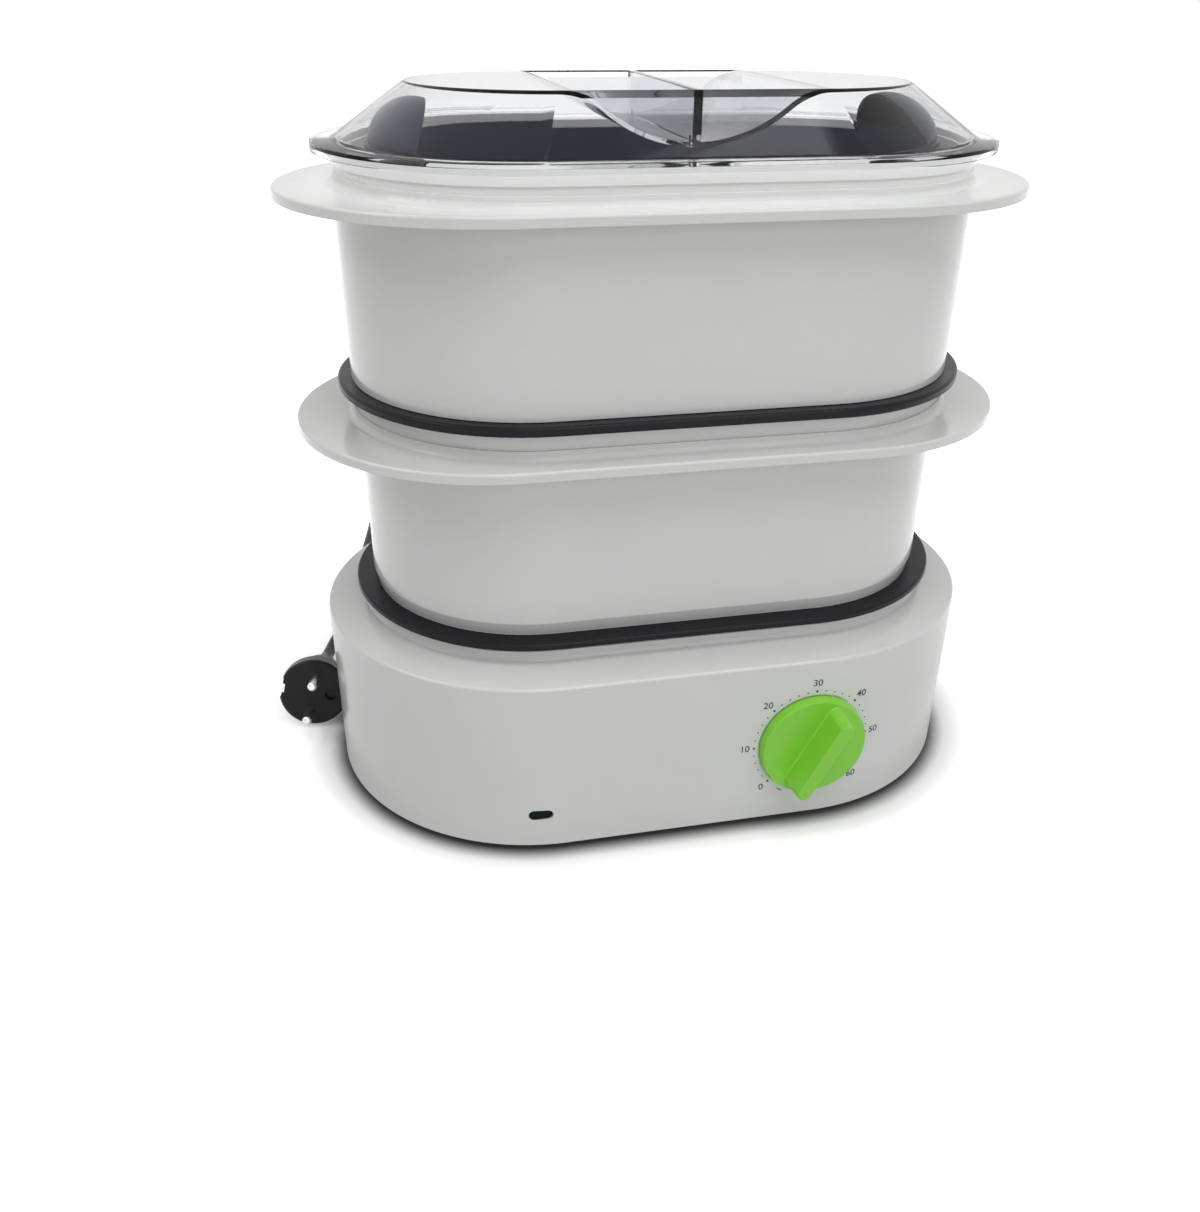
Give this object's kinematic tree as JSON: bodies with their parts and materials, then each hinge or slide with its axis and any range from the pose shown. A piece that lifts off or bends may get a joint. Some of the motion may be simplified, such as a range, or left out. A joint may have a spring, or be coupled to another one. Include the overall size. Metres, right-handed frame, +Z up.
{
  "type": "electric food steamer",
  "caption": "Electric food steamer with a timer base, a stack of two flanged oval baskets, an insert bowl with ears and a clear lid with a web grip",
  "frame": {"origin": "centre of the bottom of the object's box, on the table under the feet, without the mains lead", "axes": "+Z up, the control side with the knob faces -Y, +X to the right of someone facing it"},
  "size_m": [0.3571, 0.4369, 0.3221],
  "materials": {
    "white_plastic": "glossy moulded polypropylene, off-white",
    "charcoal_plastic": "satin charcoal",
    "navy_plastic": "satin dark blue grey",
    "clear_plastic": "clear polycarbonate",
    "green_plastic": "glossy lime green",
    "lens_plastic": "dark green window",
    "lamp_glass": "clear neon lamp",
    "black_rubber": "matt rubber",
    "red_rubber": "silicone rubber",
    "grey_plastic": "matt off-white",
    "dark_plastic": "matt black",
    "wire_plastic": "insulated wire",
    "cord_plastic": "black PVC",
    "steel": "plain steel",
    "pin_chrome": "nickel plated"
  },
  "bodies": {
    "base": {"base_housing": "white_plastic", "water_tank": "white_plastic", "tank_screws": "steel", "heater_plate": "steel", "heating_element": "steel", "heater_seal": "red_rubber", "heater_clamp_ring": "steel", "heater_screws": "steel", "thermal_cutout": "dark_plastic", "bottom_cover": "grey_plastic", "rubber_feet": "black_rubber", "cover_screws": "steel", "timer_body": "dark_plastic", "timer_bracket": "steel", "timer_bell": "steel", "timer_screws": "steel", "pilot_lens": "lens_plastic", "pilot_lamp": "lamp_glass", "terminal_block": "white_plastic", "internal_wires": "wire_plastic", "cord_tail": "cord_plastic", "cord_gland": "cord_plastic", "cord_clamp": "dark_plastic", "clamp_screws": "steel", "cord_lead": "cord_plastic", "cord_coil": "cord_plastic", "power_cord": "cord_plastic", "plug_body": "cord_plastic", "plug_pins": "pin_chrome", "plug_earth_clips": "pin_chrome"},
    "timer_knob": {"timer_knob": "green_plastic", "timer_shaft": "steel"},
    "steam_ring": {"steam_ring": "white_plastic"},
    "drip_tray": {"drip_tray": "charcoal_plastic"},
    "lower_basket": {"lower_basket": "white_plastic"},
    "basket_floor": {"basket_floor": "charcoal_plastic"},
    "upper_basket": {"upper_basket": "white_plastic"},
    "insert_bowl": {"insert_bowl": "navy_plastic"},
    "lid": {"lid": "clear_plastic"}
  },
  "joints": [
    {"name": "timer_turn", "type": "hinge", "parent": "base", "child": "timer_knob", "pos_m": [0.056, -0.0895, 0.0441], "axis": [0, 1, 0], "range_deg": [0, 305]},
    {"name": "steam_ring_lift", "type": "slide", "parent": "base", "child": "steam_ring", "axis": [0, 0, 1], "range_m": [0, 0.06]},
    {"name": "drip_tray_lift", "type": "slide", "parent": "steam_ring", "child": "drip_tray", "axis": [0, 0, 1], "range_m": [0, 0.04]},
    {"name": "lower_basket_lift", "type": "slide", "parent": "drip_tray", "child": "lower_basket", "axis": [0, 0, 1], "range_m": [0, 0.04]},
    {"name": "basket_floor_lift", "type": "slide", "parent": "lower_basket", "child": "basket_floor", "axis": [0, 0, 1], "range_m": [0, 0.03]},
    {"name": "upper_basket_lift", "type": "slide", "parent": "basket_floor", "child": "upper_basket", "axis": [0, 0, 1], "range_m": [0, 0.04]},
    {"name": "insert_bowl_lift", "type": "slide", "parent": "upper_basket", "child": "insert_bowl", "axis": [0, 0, 1], "range_m": [0, 0.11]},
    {"name": "lid_lift", "type": "slide", "parent": "insert_bowl", "child": "lid", "axis": [0, 0, 1], "range_m": [0, 0.05]}
  ]
}
